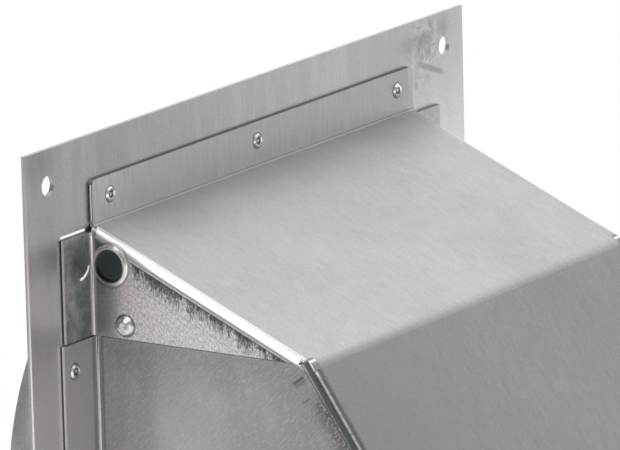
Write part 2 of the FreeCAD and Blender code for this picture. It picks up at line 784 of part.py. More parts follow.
pieces = [
    make_wall_plate(),
    make_hood(),
    make_duct_collar(),
    make_damper_flap(),
    make_damper_rod(),
    make_damper_seal(),
    make_bushing("left", -1),
    make_bushing("right", 1),
]
doc.recompute()

for item in doc.Objects:
    if "Invalid" in item.State or "Error" in item.State:
        raise RuntimeError(item.Label + " failed: " + ", ".join(item.State))
for piece in pieces:
    if piece.Shape.isNull() or not piece.Shape.isValid():
        raise RuntimeError(piece.Label + " has no valid shape")
    if len(piece.Shape.Solids) != 1:
        raise RuntimeError(piece.Label + " is not one solid")
for piece in pieces:
    piece.Shape.exportStep(os.path.join("parts", piece.Label + ".step"))
    print(piece.Label, len(piece.Shape.Solids), round(piece.Shape.Volume, 1))
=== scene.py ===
import math

import bpy
from mathutils import Matrix, Vector


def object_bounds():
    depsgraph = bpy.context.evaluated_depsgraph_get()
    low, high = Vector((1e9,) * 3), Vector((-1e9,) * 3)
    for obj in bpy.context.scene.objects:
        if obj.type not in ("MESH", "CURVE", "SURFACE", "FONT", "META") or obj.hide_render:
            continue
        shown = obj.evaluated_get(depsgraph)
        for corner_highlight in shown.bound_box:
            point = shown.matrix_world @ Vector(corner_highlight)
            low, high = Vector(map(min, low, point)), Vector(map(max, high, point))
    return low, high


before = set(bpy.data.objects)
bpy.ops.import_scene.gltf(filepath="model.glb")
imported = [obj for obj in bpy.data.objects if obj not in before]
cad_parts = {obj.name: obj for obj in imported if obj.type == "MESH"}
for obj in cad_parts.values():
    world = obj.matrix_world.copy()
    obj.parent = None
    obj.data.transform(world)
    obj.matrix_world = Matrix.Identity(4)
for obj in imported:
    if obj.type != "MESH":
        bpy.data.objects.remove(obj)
CAD_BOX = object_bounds()
scene = bpy.context.scene
MM = 0.001

# Camera: the photograph's long lens, from the left, in front and a little above
LENS_MM = 446.8
SENSOR_MM = 36.0
CLIP_NEAR = 0.05
CLIP_FAR = 50.0
CAMERA_YAW = math.radians(56.27)
CAMERA_PITCH = math.radians(13.57)
CAMERA_ROLL = math.radians(1.448)
CAMERA_DISTANCE = 1.5055
AIM = Vector((0.00887, -0.00758, 0.04566))

# Planes and edges of the plate and the folded hood, in mm, as the solids have them
PLATE_TOP = 76.17
PLATE_MIDDLE = 0.5
HALF_HOOD = 57.0
HALF_FRONT = 56.05
GUSSET_LOW = 37.8
FOLDS_START = 2.7
FLANGE_TOP = 67.6
HALF_FLANGE = 56.1
TAB_TOP = 57.8
TAB_REACH = 65.9
LOW_TAB_REACH = 66.7
TOP_NORMAL = (0.0, -0.3986, 0.9171)
TOP_PLANE = 54.74
FRONT_NORMAL = (0.0, -0.8271, 0.5621)
FRONT_PLANE = 63.04
FRONT_DOWN = (0.0, -0.5621, -0.8271)
CORNER_DOWN = -3.8

# Clinches, buttons and pivots, in mm: their places, and the rings that are painted on them
CLINCH_UP = 63.8
CLINCH_OUT = 50.2
TAB_CLINCH_OUT = 63.5
TAB_CLINCHES_UP = (32.1, -6.9, -45.9)
CLINCH_DIMPLE = 0.34
CLINCH_GROOVE = (0.34, 0.74)
CLINCH_CREST = (0.78, 1.42)
CLINCH_FOOT = (1.42, 1.66)
BUTTON_OUT = 9.1
BUTTON_UP = 40.4
BUTTON_DOME = 2.0
BUTTON_FOOT = (1.9, 2.3)
PIVOT_Y = -5.97
PIVOT_Z = 51.8
LIP_BORE = 3.42
LIP = (3.4, 4.02)
LIP_CREST = (3.78, 4.0)
LIP_FOOT = (4.05, 4.5)
BUSH_RING = (2.5, 2.68)

# Painted bands, in mm from the top panel's plane and from the front panel's plane
FOLD_DEPTH = 1.7
RUBBED_LINE = (0.56, 0.62)
LIT_BAND = (0.6, 1.25)
DIE_LINE = (2.02, 2.22)
DIE_BAND = (2.0, 6.1)
DIE_END = (5.85, 6.0)
BEAD_BAND = (2.1, 2.9)
DIP = (0.02, 0.30)
RIDGE = (0.34, 0.62)
DARK_BAND = (0.66, 1.72)
PALE_LINE = (1.72, 1.94)
DARK_LINE = (2.02, 2.22)

# Directions towards which painted highlights tilt the shading normal, to mirror the light above, and those
# of the gussets' streaks
LIT = (0.0, -0.35, 0.94)
BRIGHTEST = (-0.515, -0.344, 0.786)
STREAK_ALONG = (0.0, -0.316, -0.949)
STREAK_ACROSS = (0.0, -0.949, 0.316)

# Scale of the rolled grain's noise along x, y and z, per metre
UPRIGHT_GRAIN = (1500.0, 1500.0, 45.0)
CROSS_GRAIN = (900.0, 260.0, 260.0)
COLLAR_GRAIN = (300.0, 40.0, 300.0)


def grey(level, tint=(1.0, 0.961, 0.957)):
    """A metal's colour, a little warm, as the photograph's."""
    return (level * tint[0], level * tint[1], level * tint[2], 1.0)


# Dark colour for real dirt and die marks, and also for painted shade and painted shadow lines
DIRT_AND_SHADE = (0.075, 0.083, 0.085, 1.0)
BEAD_DIRT = (0.05, 0.055, 0.055, 1.0)
SMUT = (0.26, 0.275, 0.275, 1.0)
HOLLOW_SHADE = (0.13, 0.15, 0.15, 1.0)
GUSSET_SHADE = (0.26, 0.275, 0.285, 1.0)
GUSSET_CORNER_SHADE = (0.12, 0.14, 0.145, 1.0)
BAND_SHADE = (0.14, 0.165, 0.165, 1.0)
BUTTON_SHADE = (0.14, 0.16, 0.16, 1.0)
BORE_SHADE = (0.10, 0.12, 0.12, 1.0)
TAB_MOTTLE = (0.28, 0.315, 0.31, 1.0)
TAB_SHADE = (0.17, 0.20, 0.20, 1.0)
NYLON = (0.024, 0.034, 0.038)
NYLON_RING = (0.07, 0.08, 0.082, 1.0)
STEEL = (0.5, 0.5, 0.5)
FOAM = (0.03, 0.03, 0.03)
WHITE = (1.0, 1.0, 1.0, 1.0)

# Sky: its plain level, then soft patches as direction, inner and outer angle in degrees, and strength
SKY_BASE = 0.36
SKY_PATCHES = [
    ((0.0, 0.0, 1.0), 8.0, 50.0, 1.48),
    ((0.81, 0.20, 0.55), 8.0, 50.0, 0.62),
    ((0.81, 0.56, 0.12), 5.0, 30.0, 0.60),
]

# Floor
FLOOR_HALF = 4.0
FLOOR_GAP = 0.5 * MM
FLOOR_ROUGH = 0.9
FLOOR_GLOW = 0.07
PAPER_DARK = (0.95, 0.95, 0.95, 1.0)
PAPER_LIGHT = (0.97, 0.97, 0.97, 1.0)


def make_camera():
    forward = Vector((
        math.sin(CAMERA_YAW) * math.cos(CAMERA_PITCH),
        math.cos(CAMERA_YAW) * math.cos(CAMERA_PITCH),
        -math.sin(CAMERA_PITCH),
    ))
    level = Vector((math.cos(CAMERA_YAW), -math.sin(CAMERA_YAW), 0.0))
    down = forward.cross(level)
    right = level * math.cos(CAMERA_ROLL) + down * math.sin(CAMERA_ROLL)
    up = level * math.sin(CAMERA_ROLL) - down * math.cos(CAMERA_ROLL)
    data = bpy.data.cameras.new("camera")
    data.lens = LENS_MM
    data.sensor_width = SENSOR_MM
    data.sensor_fit = "HORIZONTAL"
    data.clip_start = CLIP_NEAR
    data.clip_end = CLIP_FAR
    camera = bpy.data.objects.new("camera", data)
    scene.collection.objects.link(camera)
    turn = Matrix((right, up, -forward)).transposed().to_4x4()
    camera.matrix_world = Matrix.Translation(AIM - forward * CAMERA_DISTANCE) @ turn
    scene.camera = camera


class Nodes:
    """A node tree, with short calls for the nodes used here."""

    def __init__(self, tree):
        self.tree = tree

    def put(self, socket, value):
        """Link a socket to another node's output, or give it a plain value."""
        if isinstance(value, bpy.types.NodeSocket):
            self.tree.links.new(value, socket)
        else:
            socket.default_value = value

    def new(self, kind, inputs, **settings):
        """Add a node with its settings and inputs, and return its outputs."""
        node = self.tree.nodes.new("ShaderNode" + kind)
        for name, value in settings.items():
            setattr(node, name, value)
        for key, value in inputs.items():
            self.put(node.inputs[key], value)
        return node.outputs

    def math(self, operation, first, second=0.0):
        return self.new("Math", {0: first, 1: second}, operation=operation)[0]

    def plus(self, first, second):
        return self.math("ADD", first, second)

    def less(self, first, second):
        return self.math("SUBTRACT", first, second)

    def times(self, first, second):
        return self.math("MULTIPLY", first, second)

    def size(self, value):
        return self.math("ABSOLUTE", value)

    def dot(self, place, direction):
        inputs = {0: place, 1: direction}
        return self.new("VectorMath", inputs, operation="DOT_PRODUCT")["Value"]

    def ramp(self, value, low, high, low_out=0.0, high_out=1.0):
        """A smooth step between two values."""
        inputs = {"Value": value, "From Min": low, "From Max": high, "To Min": low_out, "To Max": high_out}
        return self.new("MapRange", inputs, interpolation_type="SMOOTHSTEP")[0]

    def over(self, value, edge, soft=0.1):
        return self.ramp(value, edge - soft, edge + soft)

    def under(self, value, edge, soft=0.1):
        return self.ramp(value, edge - soft, edge + soft, 1.0, 0.0)

    def between(self, value, low, high, soft=0.1):
        return self.all_of(self.over(value, low, soft), self.under(value, high, soft))

    def all_of(self, first, *others):
        total = first
        for other in others:
            total = self.times(total, other)
        return total

    def apart(self, first, first_at, second, second_at):
        """Distance in mm from a point, in the plane of two directions."""
        one = self.less(first, first_at)
        two = self.less(second, second_at)
        return self.math("SQRT", self.plus(self.times(one, one), self.times(two, two)))


class Shader(Nodes):
    """A material on a Principled shader."""

    def __init__(self, name):
        self.material = bpy.data.materials.new(name)
        self.material.use_nodes = True
        super().__init__(self.material.node_tree)
        self.surface = self.tree.nodes["Principled BSDF"].inputs

    def place(self):
        return self.new("TexCoord", {})["Object"]

    def along(self, direction):
        """Distance in mm along a direction, from the frame's origin."""
        return self.dot(self.place(), Vector(direction) / MM)

    def stretched(self, scale):
        return self.new("Mapping", {"Vector": self.place(), "Scale": scale})[0]

    def crossed(self, across, across_scale, along, along_scale):
        """A flat place for streaks: fine in one direction and long in the other."""
        inputs = {0: self.times(across, across_scale), 1: self.times(along, along_scale)}
        return self.new("CombineXYZ", inputs)[0]

    def noise(self, place, scale=1.0, detail=3.0, roughness=0.5, distortion=0.0):
        inputs = {"Vector": place, "Scale": scale, "Detail": detail, "Roughness": roughness,
                  "Distortion": distortion}
        return self.new("TexNoise", inputs)["Fac"]

    def mix(self, fac, first, second):
        return self.new("Mix", {"Factor": fac, "A": first, "B": second}, data_type="RGBA")["Result"]

    def bump(self, height, strength, distance, **normal):
        inputs = {"Height": height, "Strength": strength, "Distance": distance, **normal}
        return self.new("Bump", inputs)[0]


class Sheet(Shader):
    """Mill-finish sheet metal, on which marks, painted shade and painted highlights are laid one over
    another.
    """

    def __init__(self, name, level, grain, rough):
        super().__init__(name)
        self.x = self.along((1.0, 0.0, 0.0))
        self.y = self.along((0.0, 1.0, 0.0))
        self.z = self.along((0.0, 0.0, 1.0))
        lines = self.noise(self.stretched(grain), detail=4.0, roughness=0.7)
        blotch = self.noise(self.place(), scale=38.0, detail=5.0, roughness=0.6)
        speck = self.noise(self.place(), scale=2600.0, detail=2.0)
        tone = self.plus(self.times(lines, 0.6), self.times(blotch, 0.4))
        self.colour = self.mix(self.ramp(tone, 0.32, 0.68), grey(level * 0.92), grey(level * 1.08))
        self.gloss = self.ramp(tone, 0.3, 0.7, rough - 0.04, rough + 0.05)
        self.height = self.plus(lines, self.times(speck, 0.4))
        self.normal = self.new("NewGeometry", {})["Normal"]

    def joined(self, masks):
        return self.all_of(*masks) if isinstance(masks, tuple) else masks

    def mark(self, masks, amount, colour, gloss=None):
        """Lay a colour on where all the masks meet, and make it smoother or rougher there."""
        mask = self.joined(masks)
        self.colour = self.mix(self.times(mask, amount), self.colour, colour)
        if gloss is not None:
            self.gloss = self.plus(self.gloss, self.times(mask, gloss))

    def tilt(self, masks, amount, towards):
        """Tilt the shading normal where the masks meet, so that the place mirrors the light above: a painted
        highlight.
        """
        node = self.tree.nodes.new("ShaderNodeMix")
        node.data_type = "VECTOR"
        self.put(node.inputs[0], self.times(self.joined(masks), amount))
        self.put(node.inputs[4], self.normal)
        self.put(node.inputs[5], towards)
        self.normal = self.new("VectorMath", {0: node.outputs[1]}, operation="NORMALIZE")["Vector"]

    def finish(self):
        fine = self.noise(self.place(), scale=3600.0, detail=3.0, roughness=0.7)
        grainy = self.ramp(fine, 0.30, 0.70, 0.90, 1.10)
        shaded = self.new("VectorMath", {0: self.colour, "Scale": grainy}, operation="SCALE")["Vector"]
        self.put(self.surface["Base Color"], shaded)
        self.put(self.surface["Metallic"], 1.0)
        self.put(self.surface["Roughness"], self.gloss)
        self.put(self.surface["Normal"], self.bump(self.height, 0.12, 0.05 * MM, Normal=self.normal))
        return self


class PlateSheet(Sheet):
    """The wall plate: upright grain, with the photograph's marks on its front."""

    def __init__(self):
        super().__init__("plate_sheet", 0.475, UPRIGHT_GRAIN, 0.34)
        self.beside = self.size(self.x)
        self.paint_tone()
        bare = self.colour
        self.paint_edges()
        self.paint_rub_marks()
        self.paint_smear_and_highlight()
        self.paint_scratches()
        self.paint_shade_lines()
        self.colour = self.mix(self.over(self.y, -PLATE_MIDDLE, 0.1), self.colour, bare)
        self.finish()

    def paint_tone(self):
        """Painted shade to the left, painted light to the right, and broad upright streaks."""
        self.mark(self.under(self.x, -20.0, 50.0), 0.75, grey(0.34))
        self.mark(self.over(self.x, 62.0, 16.0), 0.6, grey(0.60))
        broad = self.noise(self.crossed(self.x, 0.22, self.z, 0.035), detail=4.0, roughness=0.6)
        self.mark(self.ramp(broad, 0.42, 0.66), 0.18, grey(0.66))
        self.mark(self.ramp(broad, 0.34, 0.56, 1.0, 0.0), 0.14, grey(0.34))

    def paint_edges(self):
        """Lighter strips beside the hood, a smudge at the upper left corner and the sheared top edge."""
        self.mark((self.under(self.z, 50.0, 24.0), self.over(self.beside, HALF_HOOD, 3.0)), 0.85, grey(0.90))
        self.mark(self.under(self.apart(self.x, -72.0, self.z, 75.0), 4.0, 3.6), 0.75, grey(0.27))
        self.mark(self.over(self.z, PLATE_TOP, 0.02), 0.9, grey(0.34))

    def paint_rub_marks(self):
        """Rub marks, a knot, a drag mark and a spot about the upper right hole."""
        x, z = self.x, self.z
        wander = self.noise(self.place(), scale=260.0, detail=6.0, roughness=0.72, distortion=1.2)
        slanted = self.crossed(self.less(x, z), 0.16, self.plus(x, z), 0.07)
        patch = self.noise(slanted, detail=3.0, distortion=0.8)
        rubbed = self.under(self.apart(x, 62.5, z, 70.5), 7.0, 4.0)
        self.mark((rubbed, self.ramp(patch, 0.40, 0.60)), 0.65, grey(0.36))
        self.mark((rubbed, self.under(wander, 0.42, 0.05)), 0.6, grey(0.27))
        self.mark((rubbed, self.between(wander, 0.56, 0.62, 0.03)), 0.6, grey(0.74))
        self.mark(self.under(self.apart(x, 69.0, z, 73.3), 1.6, 1.4), 0.55, grey(0.30))
        drag = self.apart(self.times(x, 0.34), 19.6, z, 71.9)
        self.mark(self.under(drag, 1.5, 1.3), 0.55, grey(0.33))
        self.mark(self.under(self.apart(x, 58.6, z, 63.0), 0.8, 0.4), 0.45, grey(0.32))

    def paint_smear_and_highlight(self):
        """A grey smear under the hole, and a painted highlight, a painted reflection on the plate, just over
        the left gusset's tab.
        """
        slope = self.plus(self.z, self.times(self.x, 0.36))
        smear = (self.between(slope, 88.0, 89.2, 0.35), self.between(self.x, 59.5, 68.5, 1.2))
        self.mark(smear, 0.75, grey(0.32))
        # Painted highlight: a light line, with the shading normal tilted to mirror the light
        rim_highlight = self.all_of(self.over(self.z, 58.1, 0.12), self.under(self.z, 58.62, 0.24),
                          self.between(self.x, -65.8, -57.7, 0.4), self.under(self.y, -PLATE_MIDDLE, 0.1))
        self.mark(rim_highlight, 0.95, grey(0.95))
        self.tilt(rim_highlight, 0.97, BRIGHTEST)

    def paint_scratches(self):
        fine = self.noise(self.crossed(self.x, 1.6, self.z, 0.03), detail=2.0)
        self.mark(self.between(fine, 0.64, 0.67, 0.02), 0.18, grey(0.66))

    def paint_shade_lines(self):
        """Painted shadow lines where the hood's flange and tabs end on the plate, and a pale line beside the
        flange.
        """
        x, z, beside = self.x, self.z, self.beside
        pale = (self.between(x, HALF_FLANGE + 0.5, HALF_FLANGE + 1.6, 0.3),
                self.between(z, TAB_TOP + 0.5, FLANGE_TOP, 0.5))
        above = (self.between(z, FLANGE_TOP, FLANGE_TOP + 0.08, 0.05),
                 self.under(beside, HALF_FLANGE - 1.0, 0.4))
        aside = (self.between(beside, HALF_FLANGE, HALF_FLANGE + 0.2, 0.08),
                 self.between(z, TAB_TOP + 1.0, FLANGE_TOP - 0.8, 0.4))
        upper = (self.between(beside, TAB_REACH, TAB_REACH + 0.15, 0.08),
                 self.between(z, GUSSET_LOW, TAB_TOP, 0.2))
        lower = (self.between(beside, LOW_TAB_REACH, LOW_TAB_REACH + 0.2, 0.12),
                 self.under(z, GUSSET_LOW - 0.3, 0.2))
        self.mark(pale, 0.35, grey(0.72))
        # Painted shadow lines along the flange's top and side and beside the tabs' ends
        self.mark(above, 0.5, DIRT_AND_SHADE)
        self.mark(aside, 0.75, DIRT_AND_SHADE)
        self.mark(upper, 0.4, DIRT_AND_SHADE)
        self.mark(lower, 0.35, DIRT_AND_SHADE)


class HoodSheet(Sheet):
    """The folded hood. Its places are named by the panels that they lie on."""

    def __init__(self):
        super().__init__("hood_sheet", 0.51, CROSS_GRAIN, 0.36)
        self.beside = self.size(self.x)
        self.out = self.times(self.y, -1.0)
        self.under_top = self.less(TOP_PLANE, self.along(TOP_NORMAL))
        self.behind_front = self.less(FRONT_PLANE, self.along(FRONT_NORMAL))
        self.down_front = self.along(FRONT_DOWN)
        self.off_wall = self.over(self.out, FOLDS_START, 0.1)
        self.on_side = self.all_of(self.between(self.beside, HALF_FRONT - 1.5, HALF_FRONT + 0.08, 0.03),
                                   self.off_wall, self.over(self.under_top, 2.0, 0.3))
        self.on_gusset = self.all_of(self.over(self.beside, HALF_FRONT + 0.1, 0.03), self.off_wall,
                                     self.over(self.z, GUSSET_LOW - 0.3, 0.05))
        self.on_tab = self.all_of(self.over(self.beside, HALF_HOOD + 0.7, 0.2),
                                  self.under(self.out, 2.4, 0.2))
        self.on_top = self.all_of(self.under(self.under_top, 0.5, 0.3),
                                  self.under(self.beside, HALF_FRONT - 2.0, 0.5))
        self.left_most = self.ramp(self.x, -1.0, 1.0, 1.0, 0.3)
        self.paint_flange()
        self.paint_panels()
        self.paint_sides()
        self.paint_corner_lines()
        self.paint_gussets()
        self.paint_gusset_die_marks()
        self.paint_top_folds()
        self.paint_front_folds()
        self.paint_side_die_marks()
        self.paint_tabs()
        self.paint_clinches()
        self.paint_buttons()
        self.paint_lips()
        self.paint_top_crease()
        self.finish()

    def paint_flange(self):
        """Upright rolled grain, as on the plate, and on the flange's end painted shade with a painted
        highlight line.
        """
        on_flange = self.all_of(self.under(self.out, 2.0, 0.2), self.over(self.z, TAB_TOP + 1.8, 0.3),
                                self.under(self.beside, HALF_FLANGE + 0.1, 0.1))
        upright = self.noise(self.crossed(self.x, 1.1, self.z, 0.11), detail=5.0, roughness=0.75)
        self.mark(on_flange, 0.9, self.mix(self.ramp(upright, 0.34, 0.66), grey(0.45), grey(0.56)))
        self.mark((on_flange, self.over(self.x, 40.0, 16.0)), 0.35, grey(0.38))
        # The end: painted shade, then a painted highlight with the shading normal tilted towards the light
        end = self.all_of(on_flange, self.over(self.beside, HALF_FLANGE - 0.05, 0.02),
                          self.under(self.out, 1.65, 0.06))
        self.mark(end, 0.7, DIRT_AND_SHADE)
        painted_highlight = self.all_of(end, self.between(self.out, 1.22, 1.5, 0.05))
        self.mark(painted_highlight, 1.0, grey(1.0))
        self.tilt(painted_highlight, 0.68, LIT)

    def paint_panels(self):
        """Painted shade: the front panel darkens to the left, and the top panel towards its back bend."""
        on_front = self.under(self.behind_front, 0.35, 0.2)
        self.mark((on_front, self.under(self.x, -28.0, 26.0)), 0.75, grey(0.44))
        place = self.crossed(self.plus(self.x, self.y), 0.045, self.y, 0.10)
        drift = self.noise(place, detail=3.0, distortion=0.5)
        reach = self.plus(self.less(self.out, 4.0), self.times(drift, -14.0))
        back = (self.on_top, self.ramp(reach, -8.0, 6.0, 1.0, 0.0), self.over(self.x, -46.0, 9.0))
        self.mark(back, 0.5, grey(0.38))

    def paint_sides(self):
        """Side panels: darker and cloudy, with bands of painted shade near the wall, on a slant, and at the
        top and front.
        """
        y, z, out, on_side = self.y, self.z, self.out, self.on_side
        cloud = self.noise(self.crossed(y, 0.08, z, 0.04), detail=3.0, roughness=0.5, distortion=0.6)
        self.mark(on_side, 1.0, self.mix(self.ramp(cloud, 0.32, 0.68), grey(0.375), grey(0.455)))
        # Painted shade: near the wall, in a slanted band, under the gussets and towards the front
        self.mark((on_side, self.under(out, 15.0, 3.0)), 0.3, grey(0.30))
        self.mark((on_side, self.between(out, 10.5, 14.5, 2.2)), 0.35, grey(0.26))
        slope = self.plus(self.times(y, -0.6), z)
        self.mark((on_side, self.between(slope, 34.0, 44.0, 8.0)), 0.35, grey(0.27))
        high = self.ramp(self.less(GUSSET_LOW, z), 0.0, 12.0, 1.0, 0.0)
        self.mark((on_side, high), 0.72, grey(0.27))
        self.mark((on_side, self.over(out, 40.0, 10.0)), 0.75, grey(0.28))
        slanted = self.crossed(self.plus(y, z), 1.7, self.less(y, z), 0.35)
        rolled = self.noise(slanted, detail=4.0, roughness=0.7)
        self.mark((on_side, self.ramp(rolled, 0.46, 0.68)), 0.35, grey(0.56))

    def paint_corner_lines(self):
        """A painted highlight line in the corner beside the wall, with painted shade next to it."""
        corner_highlight = self.all_of(self.between(self.out, 1.86, 2.06, 0.04),
                             self.between(self.beside, 55.5, 58.6, 0.1),
                             self.under(self.z, TAB_TOP - 0.6, 0.3))
        self.mark(corner_highlight, 0.95, grey(0.97))
        self.tilt(corner_highlight, 0.6, LIT)
        hollow = (self.between(self.out, 2.16, 3.1, 0.06), self.under(self.beside, HALF_HOOD + 0.3, 0.1),
                  self.over(self.beside, 55.5, 0.1), self.under(self.z, GUSSET_LOW, 0.2))
        self.mark(hollow, 0.48, HOLLOW_SHADE)

    def paint_gussets(self):
        """Gussets: bright and speckled, with painted shade near the wall, and a painted shadow line on the
        side panels below.
        """
        z, out, on_gusset = self.z, self.out, self.on_gusset
        slanted = self.crossed(self.along(STREAK_ACROSS), 2.6, self.along(STREAK_ALONG), 1.3)
        grit = self.noise(slanted, detail=4.0, roughness=0.75)
        self.mark(on_gusset, 1.0, self.mix(self.ramp(grit, 0.36, 0.64), grey(0.50), grey(0.86)), 0.05)
        self.mark((on_gusset, self.under(out, 7.2, 2.6)), 0.8, GUSSET_SHADE)
        self.mark((on_gusset, self.under(out, 5.0, 3.0), self.over(z, 48.0, 4.0)), 0.6, GUSSET_CORNER_SHADE)
        # A painted shadow line on the side panels under the gussets' lower edge
        self.mark((self.on_side, self.between(z, GUSSET_LOW - 0.45, GUSSET_LOW + 0.1, 0.12)), 0.75, DIRT_AND_SHADE)

    def paint_gusset_die_marks(self):
        """Dark streaks down from the fold, beads of dirt along it, and the die's faint edge."""
        z, out, under_top, on_gusset = self.z, self.out, self.under_top, self.on_gusset
        streak = self.noise(self.crossed(out, 4.6, z, 0.9), detail=5.0, roughness=0.8)
        clump = self.noise(self.crossed(out, 0.34, z, 0.02), detail=3.0, roughness=0.6)
        blobs = self.noise(self.crossed(out, 1.3, z, 0.4), detail=4.0, roughness=0.7)
        fade = self.ramp(under_top, 1.6, 6.6, 1.0, 0.0)
        density = self.plus(self.times(self.ramp(clump, 0.38, 0.58), 0.66), 0.40)
        density = self.plus(density, self.times(self.between(out, 11.5, 18.5, 2.0), 0.15))
        hatch = self.plus(self.times(density, fade), self.ramp(streak, 0.36, 0.64))
        band = self.all_of(on_gusset, self.between(under_top, *DIE_BAND, 0.12), self.over(out, 11.0, 0.8))
        self.mark((band, fade, self.ramp(clump, 0.36, 0.56)), 0.42, SMUT)
        self.mark((band, self.ramp(hatch, 0.86, 1.2)), 0.85, DIRT_AND_SHADE)
        beads = (on_gusset, self.between(under_top, *BEAD_BAND, 0.25), self.over(out, 11.5, 1.0),
                 self.ramp(blobs, 0.46, 0.58))
        self.mark(beads, 0.85, BEAD_DIRT)
        line = (on_gusset, self.between(under_top, *DIE_LINE, 0.05), self.over(out, 10.5, 0.8))
        self.mark(line, 0.95, DIRT_AND_SHADE)
        end = (on_gusset, self.between(under_top, *DIE_END, 0.06), self.over(out, 11.0, 0.5))
        self.mark(end, 0.45, grey(0.22))

    def paint_top_folds(self):
        """Painted highlights on the folds beside the top panel, the left one brighter, painted shade on
        their lower part, and a rubbed line in them.
        """
        out, beside, under_top = self.out, self.beside, self.under_top
        off_corner = self.under(self.down_front, CORNER_DOWN, 0.3)
        fold = self.all_of(self.under(under_top, FOLD_DEPTH, 0.2), self.over(beside, HALF_HOOD - 1.7, 0.2),
                           self.off_wall, off_corner, self.left_most)
        self.mark(fold, 0.95, grey(0.97), -0.08)
        start = (self.over(beside, HALF_HOOD - 2.1, 0.05), self.under(beside, HALF_HOOD - 0.95, 0.15),
                 self.under(under_top, 0.6, 0.1), self.off_wall, off_corner, self.left_most)
        self.tilt(start, 0.92, TOP_NORMAL)
        self.tilt((fold, self.between(under_top, *LIT_BAND, 0.12), self.over(out, 15.0, 6.0)), 0.5, LIT)
        # Painted shade on the lower part of the folds
        self.mark((self.over(under_top, 1.35, 0.1), fold), 0.4, grey(0.5))
        rubbed = (fold, self.between(under_top, *RUBBED_LINE, 0.05), self.over(out, 4.0, 1.0))
        self.mark(rubbed, 0.8, grey(0.4))

    def paint_front_folds(self):
        """Folds beside the front panel: painted shade in a dip, a painted highlight on the ridge, a band of
        painted shade and the die's line.
        """
        beside, behind_front, down_front = self.beside, self.behind_front, self.down_front
        fold = self.all_of(self.over(beside, HALF_FRONT - 2.2, 0.15),
                           self.under(beside, HALF_FRONT + 0.08, 0.03),
                           self.under(behind_front, 3.0, 0.2), self.over(down_front, -4.2, 0.3))
        scaly = self.noise(self.crossed(down_front, 1.8, behind_front, 0.7), detail=4.0, roughness=0.7)
        self.mark((fold, self.between(behind_front, *DIP, 0.06)), 0.6, grey(0.22))
        self.mark((fold, self.between(behind_front, *DARK_BAND, 0.1)), 0.85, BAND_SHADE)
        self.mark((fold, self.between(behind_front, *PALE_LINE, 0.06)), 0.35, grey(0.56))
        ridge_highlight = self.all_of(fold, self.between(behind_front, *RIDGE, 0.08), self.ramp(scaly, 0.3, 0.5))
        self.mark(ridge_highlight, 0.9, grey(0.95))
        self.tilt((ridge_highlight, self.under(down_front, -1.0, 1.2)), 0.5, LIT)
        self.mark((fold, self.between(behind_front, *DARK_LINE, 0.06)), 0.8, DIRT_AND_SHADE)

    def paint_side_die_marks(self):
        """Scuffs, a patch and a dash on the side panels, near the front folds."""
        behind_front, down_front, on_side = self.behind_front, self.down_front, self.on_side
        tick = self.noise(self.crossed(down_front, 2.1, behind_front, 1.0), detail=5.0, roughness=0.8)
        worn = (on_side, self.ramp(behind_front, 2.5, 7.0, 1.0, 0.0), self.over(down_front, 3.2, 2.5),
                self.over(behind_front, 1.6, 0.5), self.ramp(tick, 0.38, 0.56))
        self.mark(worn, 0.8, DIRT_AND_SHADE)
        patch = self.all_of(on_side, self.between(behind_front, 3.1, 6.0, 0.2))
        self.mark((patch, self.between(down_front, -1.85, -0.5, 0.3)), 0.35, DIRT_AND_SHADE)
        self.mark((patch, self.between(down_front, -1.9, -1.5, 0.15)), 0.7, DIRT_AND_SHADE)
        dash = (on_side, self.between(behind_front, 4.3, 6.3, 0.15),
                self.between(down_front, 2.25, 2.42, 0.06))
        self.mark(dash, 0.8, DIRT_AND_SHADE)

    def paint_tabs(self):
        """Tabs: the upper one darker and mottled, with painted shade towards the gusset and a curved painted
        highlight, the lower one pale; both ends have painted shade next to the plate and a painted highlight
        beyond it.
        """
        z, out, beside, on_tab = self.z, self.out, self.beside, self.on_tab
        over_gusset_low = self.over(z, GUSSET_LOW, 0.1)
        mottle = self.noise(self.place(), scale=420.0, detail=5.0, roughness=0.7)
        dull = self.mix(self.ramp(mottle, 0.36, 0.64), TAB_MOTTLE, grey(0.56))
        upper_tab = self.all_of(on_tab, over_gusset_low, self.left_most)
        self.mark(upper_tab, 0.9, dull, 0.12)
        self.mark((upper_tab, self.under(beside, 61.0, 2.6)), 0.45, TAB_SHADE)
        self.mark((on_tab, self.under(z, GUSSET_LOW, 0.1)), 0.9, grey(0.77), 0.05)
        # A curved painted highlight on the upper tab, with the shading normal tilted to mirror the light
        ring = self.between(self.apart(beside, 60.9, z, 52.6), 3.0, 3.58, 0.18)
        hook_highlight = self.all_of(on_tab, ring, self.under(z, 51.6, 0.4), self.under(beside, 60.9, 0.7))
        self.mark(hook_highlight, 0.95, grey(0.97), -0.1)
        self.tilt(hook_highlight, 0.97, BRIGHTEST)
        # Each tab's end: painted shade next to the plate and a painted highlight beyond it
        end = self.all_of(self.over(beside, TAB_REACH - 0.03, 0.02), over_gusset_low)
        self.mark(end, 1.0, self.mix(self.over(out, 1.2, 0.05), DIRT_AND_SHADE, grey(0.85)))
        self.tilt((end, self.over(out, 1.35, 0.06)), 0.3, LIT)
        end = self.over(beside, LOW_TAB_REACH - 0.03, 0.02)
        self.mark(end, 1.0, self.mix(self.over(out, 1.16, 0.05), DIRT_AND_SHADE, grey(0.80)))
        self.tilt((end, self.over(out, 1.3, 0.06)), 0.15, LIT)

